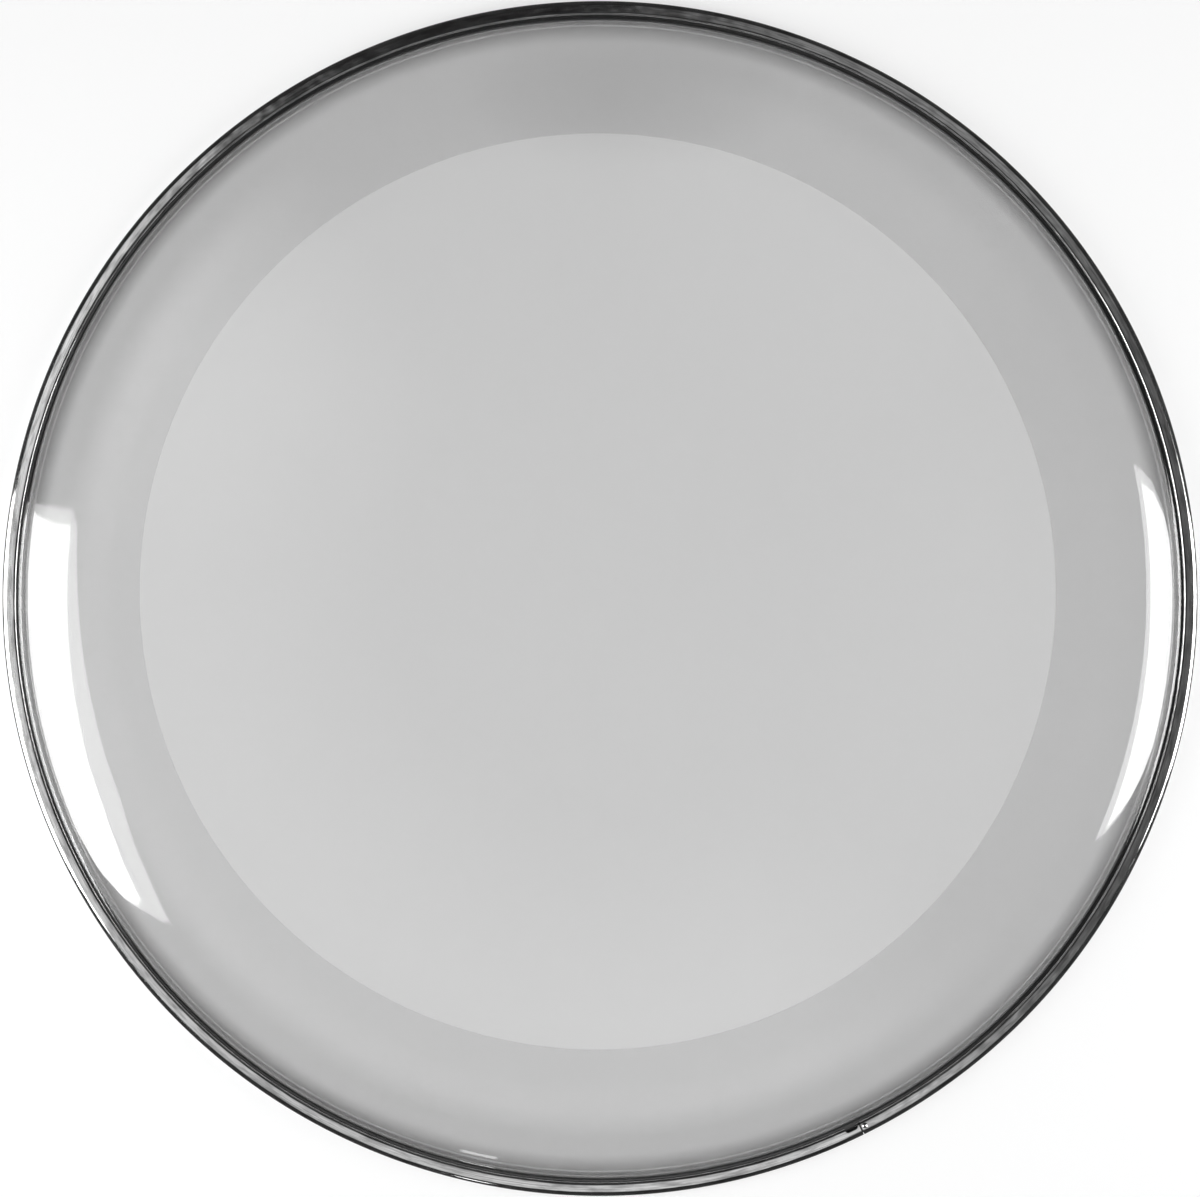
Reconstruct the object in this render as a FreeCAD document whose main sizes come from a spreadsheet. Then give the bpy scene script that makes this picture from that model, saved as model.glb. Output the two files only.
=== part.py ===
import FreeCAD, Part
import os
import Sketcher
from collections import namedtuple
from math import cos, pi, radians, sin

# A 22 inch bass drum head. It lies with the foot of its hoop on the ground plane, its film up and its axis on Z.
# The origin is the middle of the hoop's foot. Every section is drawn as radius and height.

# Driving dimensions, in millimetres and degrees
SIZES = {
    # Hoop, roll-formed from one aluminium strip
    "shell_diameter": 555.6,        # outside of the drum shell that the hoop slips over
    "shell_clearance": 1.8,         # from that shell to the hoop's inner wall
    "channel_width": 9.4,           # inner face to outer face
    "channel_height": 10.5,
    "strip_gauge": 0.8,
    "foot_radius": 1.6,             # outside of the two bends under the hoop
    "lip_corner_radius": 1.8,       # outside of the bend between the outer wall and the lip
    "lip_roll_radius": 1.3,         # outside of the roll at the lip's inner edge
    "lip_tail": 0.2,                # straight end of the strip below the roll
    "lip_margin": 1.0,              # from the lip's edge to where the film starts to rise
    # Butt joint of the hoop
    "joint_angle": -63.75,          # from +X, seen from above
    "joint_gap": 0.35,
    "notch_length": 6.6,            # relief notch in the lip, beside the joint
    "notch_depth": 2.7,
    "notch_radius": 1.6,
    "notch_land": 0.8,              # lip left between the notch and the joint
    "stake_diameter": 2.6,          # punch mark on the other side of the joint
    "stake_depth": 0.4,
    "stake_offset": 2.0,
    "splice_length": 36.0,
    "splice_thickness": 1.2,
    "splice_clearance": 0.1,
    # Film and muffle ring
    "film_gauge": 0.25,
    "ring_gauge": 0.25,
    "sheet_gap": 0.05,              # between the film and the ring under it
    "throat_clearance": 0.15,       # above and below the two sheets where they pass the lip
    "throat_length": 2.1,           # level stretch of the sheets under the lip
    "hem_floor": 2.4,               # lower edge of the hems, above the ground plane
    "hem_bend_radius": 1.2,
    "flare_radius": 3.0,            # hollow bend where the collar leaves the lip
    "wall_gap": 0.35,               # from the shell to the film at the foot of the collar wall
    "wall_slope": 80.0,
    "wall_length": 1.0,
    "shoulder_radius": 8.0,
    "shoulder_slope": 10.0,         # slope at which the shoulder passes into the crown
    "crown_radius": 190.0,
    "ring_width": 57.75,            # from the shell's outside in to the edge of the muffle ring's window
    "window_shift_x": -1.1,         # the window lies a little off the hoop's axis
    "window_shift_y": 3.4,
    "perforation_diameter": 2.4,
    "perforation_rise": 1.9,        # from the hem's lower edge to the middle of each hole
    "perforation_count": 72,
    # Resin in the channel
    "resin_level": 6.2,
}

doc = FreeCAD.newDocument("drum_head")
sizes = doc.addObject("Spreadsheet::Sheet", "sizes")
for row, (alias, value) in enumerate(SIZES.items(), start=1):
    sizes.set(f"A{row}", alias)
    sizes.set(f"B{row}", str(value))
    sizes.setAlias(f"B{row}", alias)
doc.recompute()

# Radii that pieces share
HOOP_INNER = "(sizes.shell_diameter / 2 + sizes.shell_clearance)"
HOOP_OUTER = f"({HOOP_INNER} + sizes.channel_width)"
CHANNEL_INNER = f"({HOOP_INNER} + sizes.strip_gauge)"
FLARE_START = "(sizes.shell_diameter / 2 + sizes.wall_gap + sizes.flare_radius * sin(sizes.wall_slope))"
LIP_EDGE = f"({FLARE_START} + sizes.lip_margin)"
LIP_FLAT = f"({HOOP_OUTER} - sizes.lip_corner_radius - sizes.lip_roll_radius - {LIP_EDGE})"
LIP_MIDDLE = f"({LIP_EDGE} + sizes.lip_roll_radius + {LIP_FLAT} / 2)"
HEM_RADIUS = f"({FLARE_START} + sizes.throat_length + sizes.hem_bend_radius)"
SPLICE_INNER = f"({HEM_RADIUS} + sizes.film_gauge + sizes.splice_clearance)"
SPLICE_OUTER = f"({HOOP_OUTER} - sizes.lip_corner_radius - sizes.splice_clearance)"
WINDOW_DIAMETER = "(sizes.shell_diameter - 2 * sizes.ring_width)"

# Levels that pieces share
LIP_UNDERSIDE = "(sizes.channel_height - sizes.strip_gauge)"
LIP_END = "(sizes.channel_height - sizes.lip_roll_radius - sizes.lip_tail)"
FILM_TOP = f"({LIP_END} - sizes.throat_clearance)"
FILM_FACE = f"({FILM_TOP} - sizes.film_gauge)"
RING_FOOT = f"({FILM_FACE} - sizes.sheet_gap - sizes.ring_gauge)"
INNER_WALL_TOP = f"({RING_FOOT} - sizes.throat_clearance)"

# A section is a path of straight runs and tangent bends. A positive turn goes to the left.
Run = namedtuple("Run", "length")
Bend = namedtuple("Bend", "radius turn")
TO_AXIS = "to the axis"
LEFT, RIGHT = 1, -1

# Numbers of a curve's start, end and centre and of the upright axis in a sketch
START, END, CENTRE = range(1, 4)
V_AXIS = -2

# A turned piece is a round row of equal sectors, so that all sides of it are alike
SECTOR_COUNT = 8
FULL_TURN = 360
cuts = []


def at(x, y):
    """Return a point of a sketch."""
    return FreeCAD.Vector(x, y, 0)


def plane_of(body, role):
    """Return one of a body's own origin planes or axes."""
    return next(feature for feature in body.Origin.OriginFeatures if feature.Role == role)


def sketch_on(body, role, name):
    """Add a sketch on one of a body's origin planes."""
    sketch = body.newObject("Sketcher::SketchObject", f"{body.Label}_{name}")
    sketch.AttachmentSupport = [(plane_of(body, role), "")]
    sketch.MapMode = "FlatFace"
    return sketch


def constrain(sketch, *constraint):
    """Add a constraint that holds no size."""
    sketch.addConstraint(Sketcher.Constraint(*constraint))


def dimension(sketch, name, expression, *constraint):
    """Add a constraint whose value follows an expression on the sheet."""
    value = sketch.evalExpression(expression)
    if constraint[0] == "Angle":
        value = radians(value)
    number = sketch.addConstraint(Sketcher.Constraint(*constraint, value))
    sketch.renameConstraint(number, name)
    sketch.setExpression(f"Constraints.{name}", expression)


def draw_path(sketch, start, heading, moves, inset=0.0):
    """Draw a path, set in to its left, and return each piece's number with its first and last end."""
    value = sketch.evalExpression
    angle = radians(heading)
    x = value(start[0]) - inset * sin(angle)
    y = value(start[1]) + inset * cos(angle)
    drawn = []
    for move in moves:
        if isinstance(move, Run):
            length = x if move.length == TO_AXIS else value(move.length)
            following = at(x + length * cos(angle), y + length * sin(angle))
            number = sketch.addGeometry(Part.LineSegment(at(x, y), following))
            drawn.append((number, START, END))
        else:
            turn = radians(value(move.turn))
            side = LEFT if turn > 0 else RIGHT
            radius = value(move.radius) - side * inset
            centre = at(x - side * radius * sin(angle), y + side * radius * cos(angle))
            first = angle - side * pi / 2
            last = first + turn
            circle = Part.Circle(centre, FreeCAD.Vector(0, 0, 1), radius)
            number = sketch.addGeometry(Part.ArcOfCircle(circle, min(first, last), max(first, last)))
            drawn.append((number, START, END) if side == LEFT else (number, END, START))
            angle += turn
            following = centre + at(radius * cos(last), radius * sin(last))
        x, y = following.x, following.y
    for (before, _, leaving), (after, entering, _) in zip(drawn, drawn[1:]):
        constrain(sketch, "Tangent", before, leaving, after, entering)
    return drawn


def size_path(sketch, drawn, start, moves):
    """Bind a path that starts upright: its start, each run's length, each bend's radius and turn."""
    number, first, _ = drawn[0]
    constrain(sketch, "Vertical", number)
    dimension(sketch, "start_radius", start[0], "DistanceX", number, first)
    dimension(sketch, "start_level", start[1], "DistanceY", number, first)
    for place, (move, (number, _, last)) in enumerate(zip(moves, drawn)):
        if isinstance(move, Bend):
            dimension(sketch, f"radius_{place}", move.radius, "Radius", number)
            dimension(sketch, f"turn_{place}", f"abs({move.turn})", "Angle", number)
        elif move.length == TO_AXIS:
            constrain(sketch, "PointOnObject", number, last, V_AXIS)
        else:
            dimension(sketch, f"length_{place}", move.length, "Distance", number)


def draw_strip(sketch, start, heading, moves, gauge, side):
    """Draw a closed section of even thickness along a path, on one side of it."""
    face = draw_path(sketch, start, heading, moves)
    back = draw_path(sketch, start, heading, moves, inset=side * sketch.evalExpression(gauge))
    size_path(sketch, face, start, moves)
    for move, (number, _, _), (other, _, _) in zip(moves, face, back):
        if isinstance(move, Run):
            constrain(sketch, "Parallel", number, other)
        else:
            constrain(sketch, "Coincident", number, CENTRE, other, CENTRE)
    caps = []
    for (number, *ends), (other, *other_ends), end in ((face[0], back[0], 0), (face[-1], back[-1], 1)):
        corners = sketch.getPoint(number, ends[end]), sketch.getPoint(other, other_ends[end])
        cap = sketch.addGeometry(Part.LineSegment(*corners))
        constrain(sketch, "Coincident", cap, START, number, ends[end])
        constrain(sketch, "Coincident", cap, END, other, other_ends[end])
        constrain(sketch, "Perpendicular", cap, number)
        caps.append(cap)
    dimension(sketch, "gauge", gauge, "Distance", caps[0])


def draw_rectangle(sketch, left, right, low, high):
    """Draw a rectangle between two bound columns and two bound rows."""
    value = sketch.evalExpression
    corners = [at(value(x), value(y)) for x, y in ((left, low), (right, low), (right, high), (left, high))]
    sides = [sketch.addGeometry(Part.LineSegment(corners[i], corners[(i + 1) % 4])) for i in range(4)]
    for i in range(4):
        constrain(sketch, "Coincident", sides[i], END, sides[(i + 1) % 4], START)
        constrain(sketch, "Horizontal" if i % 2 == 0 else "Vertical", sides[i])
    dimension(sketch, "left", left, "DistanceX", sides[0], START)
    dimension(sketch, "low", low, "DistanceY", sides[0], START)
    dimension(sketch, "right", right, "DistanceX", sides[2], START)
    dimension(sketch, "high", high, "DistanceY", sides[2], START)


def draw_circle(sketch, x, y, diameter):
    """Draw a circle with a bound middle and diameter."""
    value = sketch.evalExpression
    circle = Part.Circle(at(value(x), value(y)), FreeCAD.Vector(0, 0, 1), value(diameter) / 2)
    number = sketch.addGeometry(circle)
    dimension(sketch, "middle_x", x, "DistanceX", number, CENTRE)
    dimension(sketch, "middle_y", y, "DistanceY", number, CENTRE)
    dimension(sketch, "diameter", diameter, "Diameter", number)


def draw_slot(sketch, x, low, high, radius):
    """Draw an upright slot with round ends on a bound column, between two bound end centres."""
    value = sketch.evalExpression
    column, size = value(x), value(radius)
    turn = FreeCAD.Vector(0, 0, 1)
    top = sketch.addGeometry(Part.ArcOfCircle(Part.Circle(at(column, value(high)), turn, size), 0, pi))
    foot = sketch.addGeometry(Part.ArcOfCircle(Part.Circle(at(column, value(low)), turn, size), pi, 2 * pi))
    for edge, upper, lower in ((column - size, END, START), (column + size, START, END)):
        side = sketch.addGeometry(Part.LineSegment(at(edge, value(high)), at(edge, value(low))))
        constrain(sketch, "Tangent", top, upper, side, START)
        constrain(sketch, "Tangent", side, END, foot, lower)
        constrain(sketch, "Vertical", side)
    dimension(sketch, "column", x, "DistanceX", top, CENTRE)
    dimension(sketch, "high", high, "DistanceY", top, CENTRE)
    dimension(sketch, "low", low, "DistanceY", foot, CENTRE)
    dimension(sketch, "radius", radius, "Radius", top)


def new_body(label):
    """Add a body whose label names its piece."""
    body = doc.addObject("PartDesign::Body", label)
    body.Label = label
    return body


def turn_section(body, sketch, angle):
    """Turn a section about the drum's axis, by half of a bound angle to each side."""
    sector = body.newObject("PartDesign::Revolution", f"{body.Label}_sector")
    sector.Profile = sketch
    sector.ReferenceAxis = (sketch, ["V_Axis"])
    sector.Midplane = True
    sector.setExpression("Angle", angle)
    return sector


def repeat_round(body, feature, name, count):
    """Repeat a feature all round the drum's axis, with a seam left between the copies."""
    row = body.newObject("PartDesign::PolarPattern", f"{body.Label}_{name}")
    row.Originals = [feature]
    row.Axis = (plane_of(body, "Z_Axis"), [""])
    row.Angle = FULL_TURN
    row.setExpression("Occurrences", count)
    row.Refine = False
    body.Tip = row
    return row


def revolve(body, sketch):
    """Turn a section all the way round."""
    sector = turn_section(body, sketch, f"{FULL_TURN} / {SECTOR_COUNT}")
    repeat_round(body, sector, "round", str(SECTOR_COUNT))


def cut_beyond(body, sketch):
    """Cut everything on the far side of a sketch, along its normal."""
    pocket = body.newObject("PartDesign::Pocket", f"{sketch.Name}_cut")
    pocket.Profile = sketch
    pocket.Type = "ThroughAll"
    pocket.Reversed = True
    pocket.Refine = False
    cuts.append(pocket)
    return pocket


def turn_to_joint(body):
    """Turn a piece that is drawn on the X axis to the place of the hoop's joint."""
    body.Placement = FreeCAD.Placement(FreeCAD.Vector(), FreeCAD.Rotation(FreeCAD.Vector(0, 0, 1), 1))
    body.setExpression("Placement.Rotation.Angle", "sizes.joint_angle")


def make_hoop():
    """Roll-formed channel: inner wall, web, outer wall and a lip rolled in over the top, butted at one joint."""
    body = new_body("hoop_channel")
    profile = sketch_on(body, "XZ_Plane", "section")
    start = (HOOP_INNER, INNER_WALL_TOP)
    moves = [
        Run(f"{INNER_WALL_TOP} - sizes.foot_radius"),
        Bend("sizes.foot_radius", "90"),
        Run("sizes.channel_width - 2 * sizes.foot_radius"),
        Bend("sizes.foot_radius", "90"),
        Run("sizes.channel_height - sizes.foot_radius - sizes.lip_corner_radius"),
        Bend("sizes.lip_corner_radius", "90"),
        Run(LIP_FLAT),
        Bend("sizes.lip_roll_radius", "90"),
        Run("sizes.lip_tail"),
    ]
    draw_strip(profile, start, -90, moves, "sizes.strip_gauge", LEFT)
    revolve(body, profile)

    # The two ends of the strip stop short of each other
    gap = sketch_on(body, "XY_Plane", "joint")
    inside = f"{HOOP_INNER} - sizes.strip_gauge"
    outside = f"{HOOP_OUTER} + sizes.strip_gauge"
    draw_rectangle(gap, inside, outside, "-sizes.joint_gap / 2", "sizes.joint_gap / 2")
    cut_beyond(body, gap)

    # Relief notch that keeps the cut end of the roll off the film
    notch = sketch_on(body, "XY_Plane", "notch")
    notch.setExpression("AttachmentOffset.Base.z", FILM_TOP)
    column = f"{LIP_EDGE} + sizes.notch_depth - sizes.notch_radius"
    near_end = "-sizes.joint_gap / 2 - sizes.notch_land - sizes.notch_radius"
    far_end = "-sizes.joint_gap / 2 - sizes.notch_land - sizes.notch_length + sizes.notch_radius"
    draw_slot(notch, column, far_end, near_end, "sizes.notch_radius")
    cut_beyond(body, notch)

    # Punch mark that stakes the lip to the splice
    stake = body.newObject("PartDesign::SubtractiveSphere", "stake")
    ball = "((sizes.stake_diameter / 2) ^ 2 + sizes.stake_depth ^ 2) / (2 * sizes.stake_depth)"
    stake.setExpression("Radius", ball)
    stake.setExpression("Placement.Base.x", LIP_MIDDLE)
    stake.setExpression("Placement.Base.y", "sizes.stake_offset")
    stake.setExpression("Placement.Base.z", f"sizes.channel_height - sizes.stake_depth + {ball}")
    stake.Refine = False
    cuts.append(stake)
    body.Tip = stake
    turn_to_joint(body)
    return body


def make_splice():
    """Short curved bar under the lip that bridges the joint."""
    body = new_body("joint_splice")
    profile = sketch_on(body, "XZ_Plane", "section")
    draw_rectangle(profile, SPLICE_INNER, SPLICE_OUTER, f"{LIP_UNDERSIDE} - sizes.splice_thickness", LIP_UNDERSIDE)
    middle = f"(({SPLICE_INNER} + {SPLICE_OUTER}) / 2)"
    turn_section(body, profile, f"sizes.splice_length / {middle} * {FULL_TURN} / (2 * pi)")
    turn_to_joint(body)
    return body


def draw_sheet(body, drop, gauge, side):
    """Form one sheet: hem, bend under the lip, flare, collar wall, shoulder, crown and level field.

    The sheet's face lies a drop below the film's lower face, all along.
    """
    profile = sketch_on(body, "XZ_Plane", "section")
    start = (f"{HEM_RADIUS} - {drop}", "sizes.hem_floor")
    moves = [
        Run(f"{FILM_FACE} - sizes.hem_bend_radius - sizes.hem_floor"),
        Bend(f"sizes.hem_bend_radius - {drop}", "90"),
        Run("sizes.throat_length"),
        Bend(f"sizes.flare_radius + {drop}", "-sizes.wall_slope"),
        Run("sizes.wall_length"),
        Bend(f"sizes.shoulder_radius - {drop}", "sizes.wall_slope - sizes.shoulder_slope"),
        Bend(f"sizes.crown_radius - {drop}", "sizes.shoulder_slope"),
        Run(TO_AXIS),
    ]
    draw_strip(profile, start, 90, moves, gauge, side)
    revolve(body, profile)


def perforate(body):
    """Die-cut a row of holes through the hem, for the resin to pass."""
    hole = sketch_on(body, "YZ_Plane", "perforation")
    hole.setExpression("AttachmentOffset.Base.z", CHANNEL_INNER)
    level = "sizes.hem_floor + sizes.perforation_rise"
    draw_circle(hole, "0", level, "sizes.perforation_diameter")
    pocket = cut_beyond(body, hole)
    cuts.append(repeat_round(body, pocket, "perforations", "sizes.perforation_count"))


def make_film():
    """Clear membrane, formed in one piece from its field to its perforated hem."""
    body = new_body("head_film")
    draw_sheet(body, "0", "sizes.film_gauge", RIGHT)
    perforate(body)
    return body


def make_ring():
    """Second sheet under the film, formed with it, with a round window die-cut out of its field."""
    body = new_body("muffle_ring")
    draw_sheet(body, "sizes.sheet_gap", "sizes.ring_gauge", LEFT)
    window = sketch_on(body, "XY_Plane", "window")
    draw_circle(window, "sizes.window_shift_x", "sizes.window_shift_y", WINDOW_DIAMETER)
    cut_beyond(body, window)
    perforate(body)
    return body


def make_resin(film, ring):
    """Resin cast into the channel round both hems, with pegs through their holes."""
    body = new_body("resin_fill")
    profile = sketch_on(body, "XZ_Plane", "section")
    start = (CHANNEL_INNER, "sizes.resin_level")
    side = Run("sizes.resin_level - sizes.foot_radius")
    corner = Bend("sizes.foot_radius - sizes.strip_gauge", "90")
    moves = [side, corner, Run("sizes.channel_width - 2 * sizes.foot_radius"), corner, side]
    drawn = draw_path(profile, start, -90, moves)
    size_path(profile, drawn, start, moves)
    (first, top, _), (last, _, end) = drawn[0], drawn[-1]
    surface = profile.addGeometry(Part.LineSegment(profile.getPoint(last, end), profile.getPoint(first, top)))
    constrain(profile, "Coincident", surface, START, last, end)
    constrain(profile, "Coincident", surface, END, first, top)
    revolve(body, profile)

    outside_film = doc.addObject("Part::Cut", "resin_round_film")
    outside_film.Base = body
    outside_film.Tool = film
    bead = doc.addObject("Part::Cut", "resin_bead")
    bead.Label = "resin_bead"
    bead.Base = outside_film
    bead.Tool = ring
    return bead


hoop = make_hoop()
splice = make_splice()
film = make_film()
ring = make_ring()
resin = make_resin(film, ring)
doc.recompute()

# Nothing is written unless every feature worked and every cut took material away
pieces = [hoop, splice, film, ring, resin]
for item in doc.Objects:
    if {"Invalid", "Error"} & set(item.State):
        raise RuntimeError(f"{item.Label} failed: {item.State}")
    if item.isDerivedFrom("Sketcher::SketchObject") and not item.FullyConstrained:
        raise RuntimeError(f"{item.Label} is not fully constrained")
for cut in cuts:
    if cut.Shape.Volume >= cut.BaseFeature.Shape.Volume:
        raise RuntimeError(f"{cut.Label} cut nothing")
for piece in pieces:
    if piece.Shape.isNull() or not piece.Shape.isValid() or len(piece.Shape.Solids) != 1:
        raise RuntimeError(f"{piece.Label} is not one valid solid")

os.makedirs("parts", exist_ok=True)
for piece in pieces:
    piece.Shape.exportStep(f"parts/{piece.Label}.step")
    print(f"{piece.Label}: {piece.Shape.Volume:.0f} mm3")
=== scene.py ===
"""A bass drum head, dressed for a studio picture taken from straight above."""

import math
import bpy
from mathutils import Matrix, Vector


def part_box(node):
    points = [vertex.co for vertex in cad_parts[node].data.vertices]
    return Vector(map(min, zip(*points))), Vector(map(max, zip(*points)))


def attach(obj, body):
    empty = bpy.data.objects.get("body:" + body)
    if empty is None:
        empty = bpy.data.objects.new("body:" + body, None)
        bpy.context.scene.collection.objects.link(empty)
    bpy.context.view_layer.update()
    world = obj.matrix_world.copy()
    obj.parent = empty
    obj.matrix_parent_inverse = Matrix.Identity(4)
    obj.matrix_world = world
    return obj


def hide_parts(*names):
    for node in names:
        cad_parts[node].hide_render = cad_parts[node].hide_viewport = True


bl_info = {
    "name": "Bass Drum Head",
    "version": (1, 0, 0),
    "blender": (4, 5, 0),
    "location": "View3D > Sidebar > Drum Head",
    "description": "Builds the hoop, film and muffle ring of a bass drum head, and a small studio for it",
    "category": "Object",
}

import bmesh
import bpy
from bpy.props import FloatProperty, FloatVectorProperty, PointerProperty
from mathutils import Matrix, Vector

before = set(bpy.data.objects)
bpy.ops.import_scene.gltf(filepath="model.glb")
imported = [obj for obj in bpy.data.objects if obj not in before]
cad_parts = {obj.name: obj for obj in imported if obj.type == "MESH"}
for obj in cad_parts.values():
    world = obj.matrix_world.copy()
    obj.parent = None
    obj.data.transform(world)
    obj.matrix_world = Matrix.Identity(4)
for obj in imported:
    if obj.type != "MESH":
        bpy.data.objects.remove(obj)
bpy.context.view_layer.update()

HOOP_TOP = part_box("hoop_channel")[1]
FILM_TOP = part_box("head_film")[1].z

MM = 0.001
UP = Vector((0.0, 0.0, 1.0))
QUARTER_TURN = math.pi / 2
WHITE = (1.0, 1.0, 1.0)

# Steps round the axis
HOOP_STEPS = 720
SHEET_STEPS = 480

# Bends of the shoulder, each wider than the last: radius in millimetres, slope in degrees at its end, steps
SHOULDER = ((5.0, 25.0, 20), (20.0, 15.0, 8), (40.0, 10.0, 6), (110.0, 5.0, 8), (260.0, 0.0, 10))

# Corners of the light boxes, in metres
LEFT_BOX = (
    (-0.9, 0.140, 0.0), (-0.9, -0.400, 0.0), (-0.9, -0.424, 0.13), (-0.9, -0.507, 0.62), (-0.9, -0.571, 1.15),
    (-0.9, -0.595, 1.60), (-0.9, -0.590, 1.86), (-0.9, -0.493, 1.97), (-0.9, -0.360, 2.25),
    (-0.9, -0.300, 3.00), (-0.9, 0.120, 2.83), (-0.9, 0.124, 1.40),
)
RIGHT_BOX = (
    (0.9, 0.090, 0.0), (0.9, -0.241, 0.0), (0.9, -0.292, 0.41), (0.9, -0.340, 0.68), (0.9, -0.390, 1.18),
    (0.9, -0.410, 1.40), (0.9, 0.0, 1.41), (0.9, 0.190, 1.36), (0.9, 0.170, 0.79), (0.9, 0.132, 0.39),
)

# Corners of the dim cards that stand behind the boxes and hang over the left one
LEFT_CARD = (
    (-0.905, 0.152, 0.0), (-0.905, -0.402, 0.0), (-0.905, -0.426, 0.13), (-0.905, -0.510, 0.62),
    (-0.905, -0.574, 1.15), (-0.905, -0.615, 1.70), (-0.905, -0.664, 2.19), (-0.905, 0.152, 2.19),
)
LEFT_CANOPY = (
    (-0.9, 0.150, 2.19), (-0.836, 0.113, 2.19), (-0.797, 0.014, 2.19), (-0.745, -0.150, 2.19),
    (-0.709, -0.298, 2.19), (-0.738, -0.391, 2.19), (-0.744, -0.470, 2.19), (-0.769, -0.578, 2.19),
    (-0.9, -0.664, 2.19),
)
RIGHT_CARD = (
    (0.905, 0.096, 0.0), (0.905, -0.242, 0.0), (0.905, -0.294, 0.41), (0.905, -0.348, 0.68),
    (0.905, -0.403, 1.18), (0.905, -0.443, 1.63), (0.905, 0.0, 1.59), (0.905, 0.227, 1.51),
    (0.905, 0.192, 0.79), (0.905, 0.144, 0.39),
)
FAR_STRIP = ((-0.198, -1.07, 0.43), (-0.264, -1.05, 0.43), (-0.264, -1.05, 0.66), (-0.198, -1.07, 0.66))

# The rest of the stage, in metres
FLOOR_RADIUS = 8.0
FLOOR_DROP = 0.0001
CEILING_RADIUS = 1.4
CEILING_HEIGHT = 2.2

# Patches of light on the ceiling: direction in degrees, cosines where a patch starts and is full, brightness
PATCHES = (
    (-139.0, -0.15, 0.3, 0.75), (150.0, 0.9, 0.99, 0.25), (-15.0, -0.2, 0.7, 0.12), (60.0, 0.88, 0.98, 0.22),
)
PATCH_INNER_END = (0.22, 0.54)
PATCH_OUTER_END = (0.98, 0.72)

# Where finishes change, in metres, each from none to full. First the outer corner of the hoop, rougher and
# with a painted dark reflection:
CORNER_FROM_TOP = (0.01012, 0.00992)
CORNER_FROM_WALL = (0.0080, 0.0088)
CORNER_FROM_LIP = (0.2876, 0.2881)

# Then the film, by distance from the axis: the painted shade of the collar from its top and from its foot,
# the painted shade at the lip, the gloss
COLLAR_SHADE_FROM_TOP = (0.2685, 0.2755)
COLLAR_SHADE_FROM_FOOT = (0.2784, 0.2768)
SHADE_AT_LIP = (0.2792, 0.2806)
GLOSS_FROM_LIP = (0.2812, 0.2804)
# A painted soft shade near the far edge of the film: its place, its stretch across and its reach
SHADE_PATCH_PLACE = (0.012, 0.243)
SHADE_PATCH_STRETCH = 0.45
SHADE_PATCH_REACH = 0.03742

# And the painted ring of the rim's shadow on the floor, by distance from the axis
SHADOW_FROM_INSIDE = (0.2700, 0.2795)
SHADOW_FROM_OUTSIDE = (0.2894, 0.2878)


# Settings that a user would change

def length(name, description, default):
    """A length in metres, given here in millimetres."""
    return FloatProperty(name=name, description=description, default=default * MM, unit="LENGTH", precision=5)


def angle(name, description, default):
    """An angle, given here in degrees."""
    return FloatProperty(name=name, description=description, default=math.radians(default), subtype="ANGLE")


def share(name, description, default):
    """A number from 0 to 1."""
    return FloatProperty(
        name=name, description=description, default=default, min=0.0, max=1.0, subtype="FACTOR"
    )


def colour(name, description, default):
    """A colour in linear light."""
    return FloatVectorProperty(
        name=name, description=description, default=default, min=0.0, max=1.0, size=3, subtype="COLOR"
    )


class HoopSettings(bpy.types.PropertyGroup):
    """The rolled aluminium channel."""

    radius: length("Outer radius", "Radius of the outer wall", HOOP_TOP.x / MM)
    height: length("Height", "Height of the lip above the foot", HOOP_TOP.z / MM)
    width: length("Width", "From the inner wall to the outer wall", 9.4)
    gauge: length("Gauge", "Thickness of the strip", 0.8)
    inner_wall_top: length("Inner wall", "Height of the inner wall", 8.15)
    foot_bend: length("Foot bend", "Outer radius of the two bends at the foot", 1.6)
    lip_bend: length("Lip bend", "Outer radius of the bend from the wall to the lip", 2.3)
    lip_edge: length("Lip edge", "Radius of the lip's rolled edge from the axis", 282.10)
    lip_roll: length("Lip roll", "Outer radius of the roll at the lip's edge", 0.9)
    lip_crown: length("Lip crown", "Radius of the lip's gentle fall towards its roll", 5.5)
    lip_fall: angle("Lip fall", "Slope at the end of that fall", 10.0)
    lip_tail: length("Lip tail", "Straight end below the roll", 0.5)
    joint_place: angle("Joint", "Place of the butt joint round the hoop", -63.75)
    joint_gap: length("Joint gap", "Gap between the strip's ends", 0.35)
    notch_length: length("Notch length", "Relief notch in the lip, along the hoop", 6.6)
    notch_depth: length("Notch depth", "Relief notch in the lip, from its edge outwards", 2.7)
    notch_corner: length("Notch corner", "Radius of the notch's corners", 1.6)
    notch_land: length("Notch land", "Lip left between the notch and the joint", 0.8)
    stake_width: length("Stake width", "Width of the punch mark on the other side of the joint", 2.6)
    stake_depth: length("Stake depth", "Depth of the punch mark", 0.4)
    stake_offset: length("Stake offset", "From the joint's edge to the middle of the punch mark", 2.0)
    bright: colour("Bright metal", "Colour of the metal between the marks", (0.80, 0.80, 0.80))
    marked: colour("Marked metal", "Colour of the metal in the rolling marks", (0.52, 0.52, 0.52))


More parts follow.
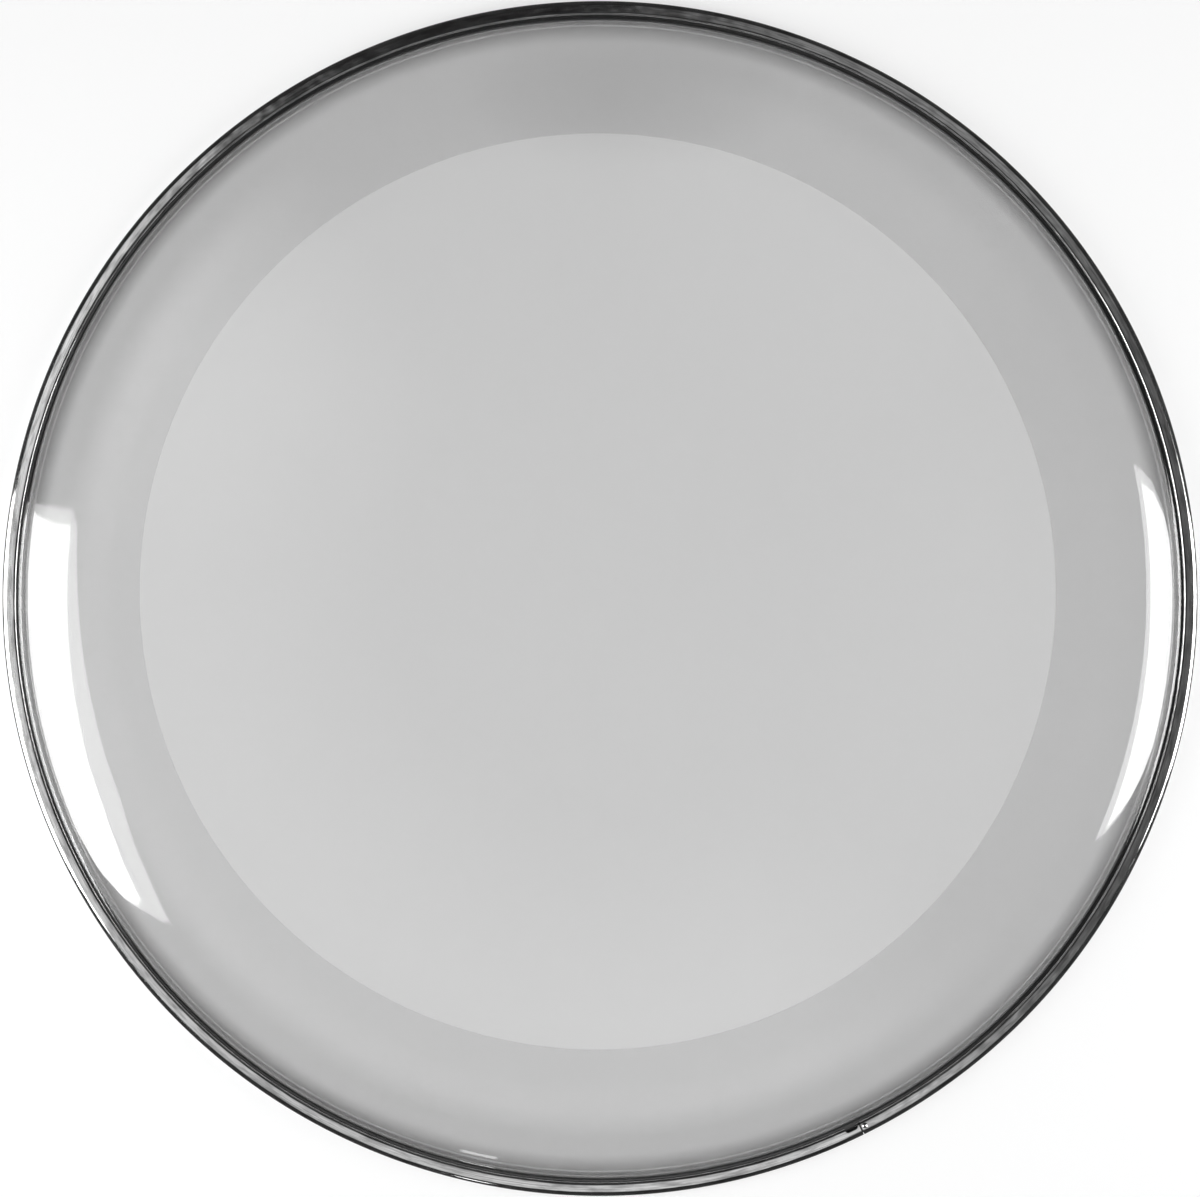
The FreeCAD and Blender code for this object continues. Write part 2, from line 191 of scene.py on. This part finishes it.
class SheetSettings(bpy.types.PropertyGroup):
    """The line that the film and the ring are both formed along, and their finish."""

    gauge: length("Gauge", "Thickness of the film and of the ring", 0.25)
    apart: length("Gap", "Gap between the film and the ring", 0.05)
    hem_radius: length("Hem radius", "Radius of the hem from the axis", 284.40)
    hem_foot: length("Hem foot", "Height of the hem's lower edge", 2.4)
    hem_length: length("Hem length", "Upright length of the hem", 5.0)
    hem_bend: length("Hem bend", "Radius of the bend over the hem", 1.2)
    throat: length("Throat", "Level length under the lip", 1.82)
    flare_bend: length("Flare bend", "Radius of the hollow flare at the foot of the collar", 3.4)
    wall_slope: angle("Wall slope", "Slope of the collar's wall", 70.0)
    wall_length: length("Wall length", "Length of the collar's wall", 3.77)
    window_radius: length("Window radius", "Radius of the ring's window", 220.05)
    window_x: length("Window shift X", "How far the window sits off the axis", -1.1)
    window_y: length("Window shift Y", "How far the window sits off the axis", 3.4)
    film_tint: colour("Film tint", "Grey cast of the film", (0.388, 0.388, 0.388))
    ring_tint: colour("Ring tint", "Grey cast of the ring", (0.403, 0.403, 0.403))
    film_cover: share("Film cover", "How much each face of the film hides", 0.30)
    ring_cover: share("Ring cover", "How much each face of the ring hides", 0.145)


class StageSettings(bpy.types.PropertyGroup):
    """The floor, the soft boxes and the camera."""

    floor: colour("Floor", "Colour of the floor and of the backdrop far behind it", (0.92, 0.92, 0.92))
    backing: share("Backing", "How much of the floor's look is a plain white background", 0.68)
    room: colour("Room", "Colour of the dark room round the stage", (0.035, 0.035, 0.035))
    camera_height: FloatProperty(
        name="Camera height", description="Height of the camera above the floor", default=2.0, unit="LENGTH"
    )
    half_view: length("Half view", "Half the width that the picture takes in at the lip", 289.83)
    side_light: FloatProperty(name="Side light", description="Brightness of the two side boxes", default=6.5)
    edge_light: FloatProperty(
        name="Edge light", description="Brightness of the dim cards round them", default=2.4
    )
    top_light: FloatProperty(name="Top light", description="Brightness of the card overhead", default=0.93)


class DrumHeadSettings(bpy.types.PropertyGroup):
    """All the settings of the drum head."""

    hoop: PointerProperty(type=HoopSettings)
    sheet: PointerProperty(type=SheetSettings)
    stage: PointerProperty(type=StageSettings)


# Finishes

class Value:
    """A shader socket that takes part in Python sums, each of which adds a Math node."""

    def __init__(self, tree, socket):
        self.tree = tree
        self.socket = socket

    def sum(self, operation, first, second):
        return add_node(self.tree, "ShaderNodeMath", {"operation": operation}, {0: first, 1: second})[0]

    def __add__(self, other):
        return self.sum("ADD", self, other)

    def __radd__(self, other):
        return self.sum("ADD", other, self)

    def __sub__(self, other):
        return self.sum("SUBTRACT", self, other)

    def __rsub__(self, other):
        return self.sum("SUBTRACT", other, self)

    def __mul__(self, other):
        return self.sum("MULTIPLY", self, other)

    def __rmul__(self, other):
        return self.sum("MULTIPLY", other, self)

    def __pow__(self, other):
        return self.sum("POWER", self, other)


def add_node(tree, kind, settings, sockets):
    """Add a node, set it up, fill its sockets with numbers, colours or links, and return its outputs."""
    node = tree.nodes.new(kind)
    for name, setting in settings.items():
        setattr(node, name, setting)
    for place, content in sockets.items():
        if isinstance(content, Value):
            tree.links.new(content.socket, node.inputs[place])
        else:
            node.inputs[place].default_value = content
    return [Value(tree, output) for output in node.outputs]


def new_material(name):
    """An empty node material."""
    material = bpy.data.materials.new(name)
    material.use_nodes = True
    material.node_tree.nodes.clear()
    return material, material.node_tree


def show(tree, shader):
    """Send a shader to the material's surface."""
    add_node(tree, "ShaderNodeOutputMaterial", {}, {"Surface": shader})


def solid_colour(rgb, strength=1.0):
    """A colour, or a darker one of its kind, with the fourth number that a socket needs."""
    return (rgb[0] * strength, rgb[1] * strength, rgb[2] * strength, 1.0)


def places(tree):
    """The X, Y and Z of a point on the piece, in metres, and its distance from the drum's axis."""
    point = add_node(tree, "ShaderNodeTexCoord", {}, {})[3]
    x, y, z = add_node(tree, "ShaderNodeSeparateXYZ", {}, {0: point})
    return x, y, z, (x * x + y * y) ** 0.5


def noise(tree, vector, scale, detail, roughness):
    """A cloudy value from 0 to 1."""
    sockets = {"Vector": vector, "Scale": scale, "Detail": detail, "Roughness": roughness}
    return add_node(tree, "ShaderNodeTexNoise", {}, sockets)[0]


def spread(tree, value, low, high):
    """Stretch a value so that low becomes 0 and high becomes 1."""
    return add_node(
        tree, "ShaderNodeMapRange", {"clamp": True}, {"Value": value, "From Min": low, "From Max": high}
    )[0]


def blend(tree, factor, first, second):
    """A colour between two colours."""
    return add_node(tree, "ShaderNodeMix", {"data_type": "RGBA"}, {0: factor, 6: first, 7: second})[2]


def along_hoop(tree, along, across):
    """A place for patterns that run round the hoop: slow along it and quick across the strip."""
    x, y, z, radius = places(tree)
    sockets = {0: x * along, 1: y * along, 2: (radius + z) * across}
    return add_node(tree, "ShaderNodeCombineXYZ", {}, sockets)[0]


def rolled_aluminium(name, bright, marked, joint):
    """Rolled strip: fine marks along it, stains, an uneven surface, a rougher outer corner with a painted
    dark reflection, and painted shade at the joint.
    """
    material, tree = new_material(name)
    marks = noise(tree, along_hoop(tree, 22.0, 3200.0), 1.0, 3.0, 0.6)
    worn = spread(tree, marks, 0.42, 0.72)
    ripple = noise(tree, along_hoop(tree, 45.0, 90.0), 1.0, 2.0, 0.5)
    bump = add_node(
        tree, "ShaderNodeBump", {}, {"Strength": 0.3, "Distance": 0.0012, "Height": ripple + marks * 0.03}
    )[0]
    x, y, z, radius = places(tree)
    # Painted dark reflection on the hoop's outer corner, which is also rougher there
    corner = spread(tree, z, *CORNER_FROM_TOP) * spread(tree, z, *CORNER_FROM_WALL)
    rougher_painted_reflection = corner * spread(tree, radius, *CORNER_FROM_LIP)
    patchy = noise(tree, along_hoop(tree, 70.0, 420.0), 1.0, 2.0, 0.6)
    stain = spread(tree, patchy, 0.45, 0.7)
    # Painted shade at the joint: the strip's ends and the splice under the gap are darkened
    beside = y * math.cos(joint) - x * math.sin(joint)
    ahead = x * math.cos(joint) + y * math.sin(joint)
    seam = spread(tree, beside * beside, 0.3 * MM * MM, 0.1 * MM * MM) * spread(tree, ahead, 0.0, 0.1)
    strip = blend(tree, worn, solid_colour(bright), solid_colour(marked))
    strip = blend(tree, stain, strip, solid_colour(marked, 0.8))
    strip = blend(tree, seam, strip, solid_colour(marked, 0.15))
    shader = add_node(
        tree,
        "ShaderNodeBsdfPrincipled",
        {},
        {
            "Base Color": blend(tree, rougher_painted_reflection, strip, solid_colour(marked, 0.02)),
            "Metallic": 1.0,
            "Roughness": 0.07 + worn * 0.12 + rougher_painted_reflection * 0.25,
            "Normal": bump,
        },
    )[0]
    show(tree, shader)
    return material


def clear_polyester(name, tint, cover):
    """Glossy clear film: grey cast, faint cloud, and painted shade in a soft patch near the far edge, on the
    collar and under the lip.
    """
    material, tree = new_material(name)
    point = add_node(tree, "ShaderNodeTexCoord", {}, {})[3]
    cloud = noise(tree, point, 9.0, 2.0, 0.5)
    grain = noise(tree, point, 2600.0, 1.0, 0.5)
    x, y, z, radius = places(tree)
    # Painted shade: a soft dark patch near the far edge of the film
    across = (x - SHADE_PATCH_PLACE[0]) * SHADE_PATCH_STRETCH
    along = y - SHADE_PATCH_PLACE[1]
    painted_shade_patch = spread(tree, across * across + along * along, SHADE_PATCH_REACH ** 2, 0.0) * (0.3 + cloud * 0.5)
    # Painted shade on the collar, lighter again at its foot, and darker still under the lip
    drawn = spread(tree, radius, *COLLAR_SHADE_FROM_TOP) * spread(tree, radius, *COLLAR_SHADE_FROM_FOOT)
    shaded = spread(tree, radius, *SHADE_AT_LIP)
    cast = blend(tree, cloud * 0.6 + grain * 0.4, solid_colour(tint, 0.9), solid_colour(tint))
    cast = blend(tree, painted_shade_patch, cast, solid_colour(tint, 0.3))
    cast = blend(tree, drawn, cast, solid_colour(tint, 0.42))
    shader = add_node(
        tree,
        "ShaderNodeBsdfPrincipled",
        {},
        {
            "Base Color": blend(tree, shaded, cast, solid_colour(tint, 0.08)),
            "Roughness": 0.03 + cloud * 0.03,
            "IOR": 1.65,
            "Specular IOR Level": 1.0,
            "Coat Weight": spread(tree, radius, *GLOSS_FROM_LIP),
            "Coat Roughness": 0.03,
            "Coat IOR": 2.0,
            "Alpha": cover,
        },
    )[0]
    show(tree, shader)
    return material


def matt_resin(name):
    """Cast resin: dark, matt and a little uneven."""
    material, tree = new_material(name)
    point = add_node(tree, "ShaderNodeTexCoord", {}, {})[3]
    cloud = noise(tree, point, 260.0, 4.0, 0.6)
    bump = add_node(tree, "ShaderNodeBump", {}, {"Strength": 0.3, "Distance": 0.0004, "Height": cloud})[0]
    shader = add_node(
        tree,
        "ShaderNodeBsdfPrincipled",
        {},
        {
            "Base Color": blend(tree, cloud, (0.035, 0.035, 0.037, 1.0), (0.075, 0.075, 0.078, 1.0)),
            "Roughness": 0.55 + cloud * 0.2,
            "Normal": bump,
        },
    )[0]
    show(tree, shader)
    return material


def glow(name, strength):
    """An even white light for a soft box."""
    material, tree = new_material(name)
    show(tree, add_node(tree, "ShaderNodeEmission", {}, {"Strength": strength})[0])
    return material


def ceiling_glow(name, strength, room):
    """A dim light overhead: dark over the middle, with patches that are brightest to the front left."""
    material, tree = new_material(name)
    x, y, z, radius = places(tree)
    patches = 0.0
    for way, start, full, brightness in PATCHES:
        towards = x * math.cos(math.radians(way)) + y * math.sin(math.radians(way))
        patches = patches + spread(tree, towards * radius ** -1.0, start, full) * brightness
    ends = spread(tree, radius, *PATCH_INNER_END) * spread(tree, radius, *PATCH_OUTER_END)
    lit = blend(tree, patches * ends, solid_colour(room, 0.6), solid_colour(WHITE))
    show(tree, add_node(tree, "ShaderNodeEmission", {}, {"Color": lit, "Strength": strength})[0])
    return material


def background_rays(tree):
    """1 for rays that show the background, straight or in metal and film, 0 for rays that light things."""
    path = add_node(tree, "ShaderNodeLightPath", {}, {})
    straight, glossy, transmitted = path[0], path[3], path[6]
    return add_node(tree, "ShaderNodeClamp", {}, {0: straight + glossy + transmitted})[0]


def pale_floor(name, rgb, backing):
    """A matt floor that takes shadows. Outside a painted ring of shadow under the rim, part of its look is a
    white background.
    """
    material, tree = new_material(name)
    sockets = {"Base Color": solid_colour(rgb), "Roughness": 0.9, "Specular IOR Level": 0.1}
    matt = add_node(tree, "ShaderNodeBsdfPrincipled", {}, sockets)[0]
    white = add_node(tree, "ShaderNodeEmission", {}, {"Strength": 1.0})[0]
    radius = places(tree)[3]
    # Painted shadow ring: under the rim the white share is left out, so the real shadow there shows at full
    # depth
    painted_rim_shadow = spread(tree, radius, *SHADOW_FROM_INSIDE) * spread(tree, radius, *SHADOW_FROM_OUTSIDE)
    mixed = {0: background_rays(tree) * backing * (1.0 - painted_rim_shadow), 1: matt, 2: white}
    show(tree, add_node(tree, "ShaderNodeMixShader", {}, mixed)[0])
    return material


# Shapes

class SectionLine:
    """A line in the plane of the X and Z axes, drawn bend by bend, to be turned about the drum's axis."""

    def __init__(self, mesh, radius, height, heading):
        self.mesh = mesh
        self.tip = mesh.verts.new((radius, 0.0, height))
        self.heading = heading

    def ahead(self, turned=0.0):
        """The direction of the line's end, turned to its left by an angle."""
        way = self.heading + turned
        return Vector((math.cos(way), 0.0, math.sin(way)))

    def run(self, distance, steps=1):
        """Go straight on."""
        for _ in range(steps):
            self.tip = bmesh.ops.extrude_vert_indiv(self.mesh, verts=[self.tip])["verts"][0]
            bmesh.ops.translate(self.mesh, verts=[self.tip], vec=self.ahead() * (distance / steps))

    def bend(self, radius, turn, steps):
        """Follow an arc, to the left where the turn is positive."""
        side = math.copysign(QUARTER_TURN, turn)
        made = bmesh.ops.spin(
            self.mesh,
            geom=[self.tip],
            cent=self.tip.co + self.ahead(side) * radius,
            axis=(0.0, -1.0, 0.0),
            angle=turn,
            steps=steps,
        )
        self.tip = [item for item in made["geom_last"] if isinstance(item, bmesh.types.BMVert)][0]
        self.heading += turn


def turn_about_axis(mesh, sweep, steps):
    """Turn the whole line about the drum's axis, from where it stands, and close the seam of a full turn."""
    full = math.isclose(sweep, math.tau)
    bmesh.ops.spin(
        mesh,
        geom=mesh.verts[:] + mesh.edges[:],
        cent=(0.0, 0.0, 0.0),
        axis=UP,
        angle=sweep,
        steps=steps,
        use_merge=full,
    )
    bmesh.ops.remove_doubles(mesh, verts=mesh.verts[:], dist=1e-7)
    bmesh.ops.recalc_face_normals(mesh, faces=mesh.faces[:])


def face_towards(mesh, outward):
    """Turn all faces round where the one that outward picks looks the wrong way."""
    sample, way = outward
    nearest = min(mesh.faces, key=lambda face: (face.calc_center_median() - sample).length)
    if nearest.normal.dot(way) < 0.0:
        bmesh.ops.reverse_faces(mesh, faces=mesh.faces[:])


def smooth_but_edges(mesh, limit):
    """Shade the faces smooth and keep the edges that turn by more than a limit crisp."""
    for face in mesh.faces:
        face.smooth = True
    for edge in mesh.edges:
        edge.smooth = len(edge.link_faces) != 2 or edge.calc_face_angle() < limit


def new_object(mesh, name):
    """Make the mesh an object of the scene."""
    data = bpy.data.meshes.new(name)
    mesh.to_mesh(data)
    mesh.free()
    made = bpy.data.objects.new(name, data)
    bpy.context.scene.collection.objects.link(made)
    return made


def finished_piece(mesh, name, material, node):
    """Make the mesh a piece that stands for a solid of the frame."""
    smooth_but_edges(mesh, math.radians(40))
    piece = new_object(mesh, name)
    piece.data.materials.append(material)
    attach(piece, "root")
    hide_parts(node)
    return piece


def stage_piece(mesh, name, material, seen):
    """Make the mesh a part of the stage. One that the camera does not see throws no shadow."""
    piece = new_object(mesh, name)
    piece.data.materials.append(material)
    piece.visible_camera = seen
    piece.visible_shadow = seen
    return piece


def draw_collar(mesh, sheet, left):
    """Draw the formed line of a sheet to the flat field, a little to the left of the film's lower face."""
    line = SectionLine(mesh, sheet.hem_radius - left, sheet.hem_foot, QUARTER_TURN)
    line.run(sheet.hem_length)
    line.bend(sheet.hem_bend - left, QUARTER_TURN, 8)
    line.run(sheet.throat)
    line.bend(sheet.flare_bend + left, -sheet.wall_slope, 16)
    line.run(sheet.wall_length, 3)
    slope = sheet.wall_slope
    for radius, final_slope, steps in SHOULDER:
        line.bend(radius * MM - left, slope - math.radians(final_slope), steps)
        slope = math.radians(final_slope)
    return line


def relief_notch(hoop):
    """The block that the notch beside the joint is cut with."""
    mesh = bmesh.new()
    bmesh.ops.create_cube(mesh, size=1.0)
    inside = 1.1 * MM
    size = (hoop.notch_depth + inside, hoop.notch_length, 4.0 * MM)
    bmesh.ops.scale(mesh, verts=mesh.verts[:], vec=size)
    upright = [edge for edge in mesh.edges if abs(edge.verts[0].co.z - edge.verts[1].co.z) > MM]
    bmesh.ops.bevel(
        mesh, geom=upright, offset=hoop.notch_corner, affect="EDGES", segments=8, profile=0.5, material=-1
    )
    middle = -(hoop.joint_gap / 2 + hoop.notch_land + hoop.notch_length / 2)
    place = (hoop.lip_edge + (hoop.notch_depth - inside) / 2, middle, hoop.height)
    bmesh.ops.translate(mesh, verts=mesh.verts[:], vec=place)
    return turned_to_joint(mesh, hoop)


def punch_mark(hoop):
    """The ball that the punch mark on the other side of the joint is pressed with."""
    mesh = bmesh.new()
    ball = (hoop.stake_width ** 2 / 4 + hoop.stake_depth ** 2) / (2 * hoop.stake_depth)
    bmesh.ops.create_uvsphere(mesh, u_segments=48, v_segments=48, radius=ball)
    flat_start = hoop.lip_edge + hoop.lip_roll
    flat_end = hoop.radius - hoop.lip_bend
    place = (
        (flat_start + flat_end) / 2,
        hoop.joint_gap / 2 + hoop.stake_offset,
        hoop.height - hoop.stake_depth + ball,
    )
    bmesh.ops.translate(mesh, verts=mesh.verts[:], vec=place)
    return turned_to_joint(mesh, hoop)


def turned_to_joint(mesh, hoop):
    """Turn a cutter from the X axis to the joint and make it an object."""
    matrix = Matrix.Rotation(hoop.joint_place, 3, "Z")
    bmesh.ops.rotate(mesh, verts=mesh.verts[:], cent=(0.0, 0.0, 0.0), matrix=matrix)
    return new_object(mesh, "cutter")


def carve(piece, cutter):
    """Cut one object out of a piece and remove the cutter."""
    modifier = piece.modifiers.new("carve", "BOOLEAN")
    modifier.object = cutter
    modifier.solver = "MANIFOLD"
    shape = piece.evaluated_get(bpy.context.evaluated_depsgraph_get())
    whole = piece.data
    piece.data = bpy.data.meshes.new_from_object(shape)
    piece.modifiers.clear()
    bpy.data.meshes.remove(whole)
    bpy.data.objects.remove(cutter)


class DRUMHEAD_OT_hoop(bpy.types.Operator):
    """Roll the aluminium hoop, with its butt joint"""

    bl_idname = "drumhead.hoop"
    bl_label = "Hoop"

    def execute(self, context):
        hoop = context.scene.drum_head.hoop
        mesh = bmesh.new()
        inner = hoop.radius - hoop.width
        line = SectionLine(mesh, inner, hoop.inner_wall_top, -QUARTER_TURN)
        line.run(hoop.inner_wall_top - hoop.foot_bend)
        line.bend(hoop.foot_bend, QUARTER_TURN, 8)
        line.run(hoop.width - 2 * hoop.foot_bend)
        line.bend(hoop.foot_bend, QUARTER_TURN, 8)
        line.run(hoop.height - hoop.foot_bend - hoop.lip_bend, 2)
        line.bend(hoop.lip_bend, QUARTER_TURN, 16)
        fall = hoop.lip_crown * math.sin(hoop.lip_fall)
        roll = hoop.lip_roll * (1.0 - math.sin(hoop.lip_fall))
        line.run(hoop.radius - hoop.lip_bend - hoop.lip_edge - fall - roll, 3)
        line.bend(hoop.lip_crown, hoop.lip_fall, 6)
        line.bend(hoop.lip_roll, QUARTER_TURN - hoop.lip_fall, 16)
        line.run(hoop.lip_tail)
        opening = hoop.joint_gap / hoop.radius
        bmesh.ops.rotate(
            mesh,
            verts=mesh.verts[:],
            cent=(0.0, 0.0, 0.0),
            matrix=Matrix.Rotation(hoop.joint_place + opening / 2, 3, "Z"),
        )
        turn_about_axis(mesh, math.tau - opening, HOOP_STEPS)
        face_towards(mesh, (Vector((0.0, hoop.radius, hoop.height / 2)), Vector((0.0, 1.0, 0.0))))
        bmesh.ops.solidify(mesh, geom=mesh.faces[:], thickness=hoop.gauge)
        material = rolled_aluminium("hoop_aluminium", hoop.bright, hoop.marked, hoop.joint_place)
        piece = finished_piece(mesh, "rolled_hoop", material, "hoop_channel")
        carve(piece, relief_notch(hoop))
        carve(piece, punch_mark(hoop))
        return {"FINISHED"}


class DRUMHEAD_OT_film(bpy.types.Operator):
    """Form the clear film: hem, flare, collar, shoulder, crown and flat field"""

    bl_idname = "drumhead.film"
    bl_label = "Film"

    def execute(self, context):
        sheet = context.scene.drum_head.sheet
        mesh = bmesh.new()
        line = draw_collar(mesh, sheet, 0.0)
        line.run(line.tip.co.x, 6)
        turn_about_axis(mesh, math.tau, SHEET_STEPS)
        face_towards(mesh, (Vector((0.1, 0.0, FILM_TOP)), -UP))
        bmesh.ops.solidify(mesh, geom=mesh.faces[:], thickness=sheet.gauge)
        material = clear_polyester("clear_film", sheet.film_tint, sheet.film_cover)
        finished_piece(mesh, "formed_film", material, "head_film")
        return {"FINISHED"}


class DRUMHEAD_OT_ring(bpy.types.Operator):
    """Form the muffle ring under the film's edge, with its window a little off the axis"""

    bl_idname = "drumhead.ring"
    bl_label = "Muffle ring"

    def execute(self, context):
        sheet = context.scene.drum_head.sheet
        mesh = bmesh.new()
        line = draw_collar(mesh, sheet, sheet.apart)
        line.run(line.tip.co.x - sheet.window_radius, 1)
        turn_about_axis(mesh, math.tau, SHEET_STEPS)
        nearest = sheet.window_radius + 1.0 * MM
        window = [vert for vert in mesh.verts if vert.co.xy.length < nearest]
        bmesh.ops.translate(mesh, verts=window, vec=(sheet.window_x, sheet.window_y, 0.0))
        face_towards(mesh, (Vector((sheet.window_radius, 0.0, FILM_TOP)), UP))
        bmesh.ops.solidify(mesh, geom=mesh.faces[:], thickness=sheet.gauge)
        material = clear_polyester("ring_film", sheet.ring_tint, sheet.ring_cover)
        finished_piece(mesh, "muffle_band", material, "muffle_ring")
        return {"FINISHED"}


class DRUMHEAD_OT_core(bpy.types.Operator):
    """Finish the solids inside the hoop: the cast resin and the splice bar"""

    bl_idname = "drumhead.core"
    bl_label = "Resin and splice"

    def execute(self, context):
        hoop = context.scene.drum_head.hoop
        bright = [part * 0.7 for part in hoop.bright]
        splice = rolled_aluminium("splice_aluminium", bright, hoop.marked, hoop.joint_place)
        for node, material in (("resin_bead", matt_resin("cast_resin")), ("joint_splice", splice)):
            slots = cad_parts[node].data.materials
            slots.clear()
            slots.append(material)
        return {"FINISHED"}


def light_box(name, strength, corners, lights=True):
    """A flat light box with the given corners, seen in reflections. A card that gives no light is one too."""
    mesh = bmesh.new()
    mesh.faces.new([mesh.verts.new(corner) for corner in corners])
    box = stage_piece(mesh, name, glow(name, strength), False)
    box.visible_diffuse = lights


class DRUMHEAD_OT_stage(bpy.types.Operator):
    """Set up the pale floor, the soft boxes, the dark room and the camera over the middle of the head"""

    bl_idname = "drumhead.stage"
    bl_label = "Stage"

    def execute(self, context):
        scene = context.scene
        stage = scene.drum_head.stage
        mesh = bmesh.new()
        bmesh.ops.create_circle(mesh, cap_ends=True, segments=96, radius=FLOOR_RADIUS)
        bmesh.ops.translate(mesh, verts=mesh.verts[:], vec=UP * -FLOOR_DROP)
        stage_piece(mesh, "floor", pale_floor("floor", stage.floor, stage.backing), True)
        light_box("left_box", stage.side_light, LEFT_BOX)
        light_box("right_box", stage.side_light, RIGHT_BOX)
        light_box("left_card", stage.edge_light, LEFT_CARD, False)
        light_box("left_canopy", stage.edge_light, LEFT_CANOPY, False)
        light_box("right_card", stage.edge_light, RIGHT_CARD, False)
        light_box("far_strip", stage.side_light / 2, FAR_STRIP)
        mesh = bmesh.new()
        bmesh.ops.create_circle(mesh, cap_ends=True, segments=64, radius=CEILING_RADIUS)
        bmesh.ops.translate(mesh, verts=mesh.verts[:], vec=UP * CEILING_HEIGHT)
        stage_piece(mesh, "ceiling", ceiling_glow("ceiling", stage.top_light, stage.room), False)
        mesh = bmesh.new()
        bmesh.ops.create_circle(mesh, segments=64, radius=CEILING_RADIUS)
        walls = bmesh.ops.extrude_edge_only(mesh, edges=mesh.edges[:])["geom"]
        top = [item for item in walls if isinstance(item, bmesh.types.BMVert)]
        bmesh.ops.translate(mesh, verts=top, vec=UP * CEILING_HEIGHT)
        flags = stage_piece(mesh, "dark_flags", glow("dark_flags", stage.room[0]), False)
        flags.visible_diffuse = False
        flags.visible_transmission = False

        world = bpy.data.worlds.new("room")
        world.use_nodes = True
        tree = world.node_tree
        tree.nodes.clear()
        backdrop = blend(tree, background_rays(tree), solid_colour(stage.room), solid_colour(stage.floor))
        background = add_node(tree, "ShaderNodeBackground", {}, {"Color": backdrop})[0]
        add_node(tree, "ShaderNodeOutputWorld", {}, {"Surface": background})
        scene.world = world
        scene.view_settings.view_transform = "Standard"

        lens = bpy.data.cameras.new("camera")
        lens.sensor_width = 36.0
        lip_distance = stage.camera_height - scene.drum_head.hoop.height
        lens.lens = lens.sensor_width / 2 * lip_distance / stage.half_view
        camera = bpy.data.objects.new("camera", lens)
        camera.location = (0.0, 0.0, stage.camera_height)
        scene.collection.objects.link(camera)
        scene.camera = camera
        return {"FINISHED"}


class DRUMHEAD_PT_panel(bpy.types.Panel):
    """The drum head's pieces, in the order they are made"""

    bl_idname = "DRUMHEAD_PT_panel"
    bl_label = "Drum Head"
    bl_space_type = "VIEW_3D"
    bl_region_type = "UI"
    bl_category = "Drum Head"

    def draw(self, context):
        for operator in OPERATORS:
            self.layout.operator(operator.bl_idname)


OPERATORS = (DRUMHEAD_OT_hoop, DRUMHEAD_OT_film, DRUMHEAD_OT_ring, DRUMHEAD_OT_core, DRUMHEAD_OT_stage)
CLASSES = (HoopSettings, SheetSettings, StageSettings, DrumHeadSettings, *OPERATORS, DRUMHEAD_PT_panel)


def register():
    for kind in CLASSES:
        bpy.utils.register_class(kind)
    bpy.types.Scene.drum_head = PointerProperty(type=DrumHeadSettings)


def unregister():
    del bpy.types.Scene.drum_head
    for kind in reversed(CLASSES):
        bpy.utils.unregister_class(kind)


def main():
    register()
    bpy.ops.drumhead.hoop()
    bpy.ops.drumhead.film()
    bpy.ops.drumhead.ring()
    bpy.ops.drumhead.core()
    bpy.ops.drumhead.stage()


if __name__ == "__main__":
    main()
